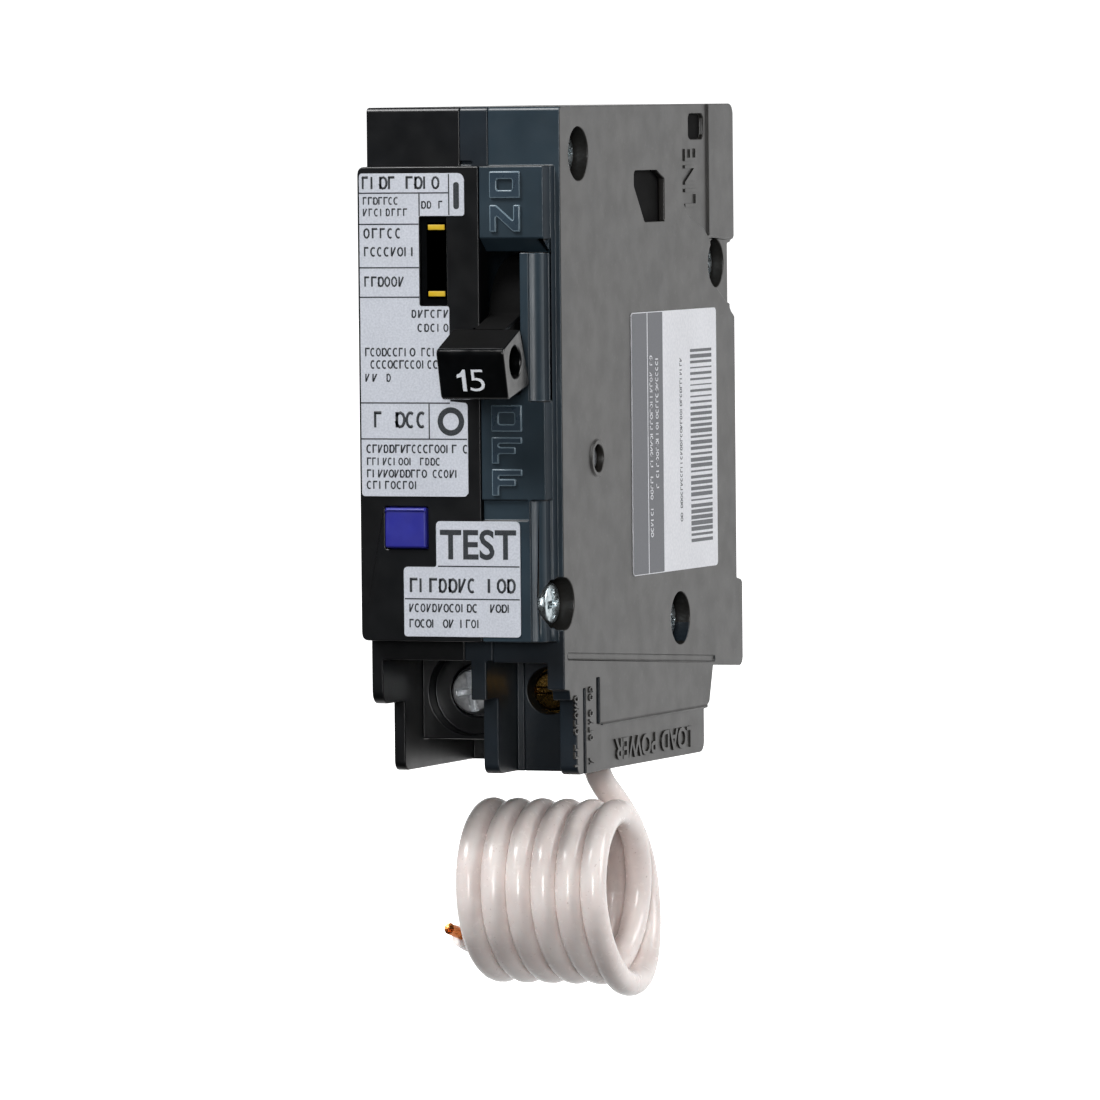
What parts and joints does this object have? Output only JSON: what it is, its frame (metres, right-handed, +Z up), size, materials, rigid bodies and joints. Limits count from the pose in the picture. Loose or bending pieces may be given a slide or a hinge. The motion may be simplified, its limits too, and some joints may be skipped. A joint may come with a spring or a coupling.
{
  "type": "single-pole circuit breaker",
  "caption": "Narrow plug-on circuit breaker with an angled toggle, push-to-test button, indicator window, printed labels and a coiled white neutral pigtail.",
  "frame": {"origin": "middle of the flat back face, on the plane between the two halves of the width", "axes": "+X across the width towards the switch side, +Y out of the back, +Z up towards the line end"},
  "size_m": [0.0257, 0.0752, 0.1109],
  "materials": {
    "case_black": "satin moulded thermoset",
    "cover_charcoal": "satin moulded thermoset",
    "handle_black": "semi-gloss moulded",
    "digit_white": "pad-printed ink",
    "button_blue": "semi-gloss moulded",
    "legend": "satin moulded ridges",
    "label_foil": "printed satin foil",
    "label_paper": "printed satin paper",
    "window_smoke": "smoky clear plastic",
    "led_amber": "clear amber resin",
    "clear_plastic": "moulded clear plastic",
    "zinc_steel": "bright zinc plate",
    "plain_steel": "rolled steel",
    "copper": "rolled copper",
    "brass": "machined brass",
    "silver": "silver alloy tip",
    "fibre": "vulcanised fibre sheet",
    "board": "solder-masked laminate",
    "ferrite": "wound ring",
    "enamel_wire": "enamelled winding",
    "component_blue": "dipped coating",
    "component_black": "moulded package",
    "wire_white": "glossy extruded insulation"
  },
  "bodies": {
    "case": {"left_case": "case_black", "center_base": "case_black", "right_cover": "cover_charcoal", "front_cover": "case_black", "case_screws": "zinc_steel", "rating_label": "label_foil", "test_label": "label_foil", "side_label": "label_paper", "onoff_letters": "legend", "led_window": "window_smoke", "status_leds": "led_amber", "light_pipes": "clear_plastic", "test_spring": "brass", "handle_pin": "plain_steel", "arm_pin": "plain_steel", "cradle_pin": "plain_steel", "fixed_contact": "silver", "line_strap": "copper", "line_jaw": "copper", "jaw_spring": "plain_steel", "arc_plates": "plain_steel", "arc_frame": "fibre", "bimetal": "brass", "magnet_yoke": "plain_steel", "flex_braid": "copper", "load_strap": "copper", "load_lug": "zinc_steel", "neutral_lug": "brass", "neutral_strap": "copper", "circuit_board": "board", "current_sensor": "ferrite", "solenoid_frame": "plain_steel", "solenoid_coil": "enamel_wire", "capacitors": "component_black", "varistor": "component_blue", "chips": "component_black", "pigtail_lead": "wire_white", "pigtail_coil": "wire_white", "pigtail_tail": "wire_white", "pigtail_end": "copper", "vent_shield": "fibre"},
    "switch_handle": {"handle": "handle_black", "handle_digits": "digit_white"},
    "switch_arm": {"contact_arm": "copper", "moving_contact": "silver", "arm_spring": "plain_steel"},
    "trip_lever": {"cradle": "plain_steel"},
    "trip_armature": {"armature": "plain_steel"},
    "trip_plunger": {"plunger": "zinc_steel"},
    "test_push": {"test_button": "button_blue"},
    "load_clamp_screw": {"load_screw": "zinc_steel"},
    "neutral_clamp_screw": {"neutral_screw": "brass"}
  },
  "joints": [
    {"name": "handle_swing", "type": "hinge", "parent": "case", "child": "switch_handle", "pos_m": [0.0057, -0.0537, 0.015], "axis": [-1, 0, 0], "range_deg": [0, 37]},
    {"name": "arm_swing", "type": "hinge", "parent": "case", "child": "switch_arm", "pos_m": [0.00575, -0.04, 0.01], "axis": [1, 0, 0], "range_deg": [0, 14]},
    {"name": "cradle_swing", "type": "hinge", "parent": "case", "child": "trip_lever", "pos_m": [0.00875, -0.0489, -0.002], "axis": [-1, 0, 0], "range_deg": [0, 8], "stiffness_Nm_per_rad": 0.01},
    {"name": "armature_swing", "type": "hinge", "parent": "case", "child": "trip_armature", "pos_m": [0.0058, -0.0337, -0.0006], "axis": [1, 0, 0], "range_deg": [0, 4], "stiffness_Nm_per_rad": 0.005},
    {"name": "plunger_slide", "type": "slide", "parent": "case", "child": "trip_plunger", "axis": [0, -1, 0], "range_m": [0, 0.002], "stiffness_N_per_m": 30},
    {"name": "test_push_slide", "type": "slide", "parent": "case", "child": "test_push", "axis": [0, 1, 0], "range_m": [0, 0.0011], "stiffness_N_per_m": 400},
    {"name": "load_screw_turn", "type": "hinge", "parent": "case", "child": "load_clamp_screw", "pos_m": [-0.005, -0.045, -0.031], "axis": [0, -1, 0], "continuous": true},
    {"name": "neutral_screw_turn", "type": "hinge", "parent": "case", "child": "neutral_clamp_screw", "pos_m": [0.0066, -0.048, -0.0306], "axis": [0, -1, 0], "continuous": true}
  ],
  "couplings": [
    {"joint": "arm_swing", "follows": "handle_swing", "ratio": 0.378}
  ]
}
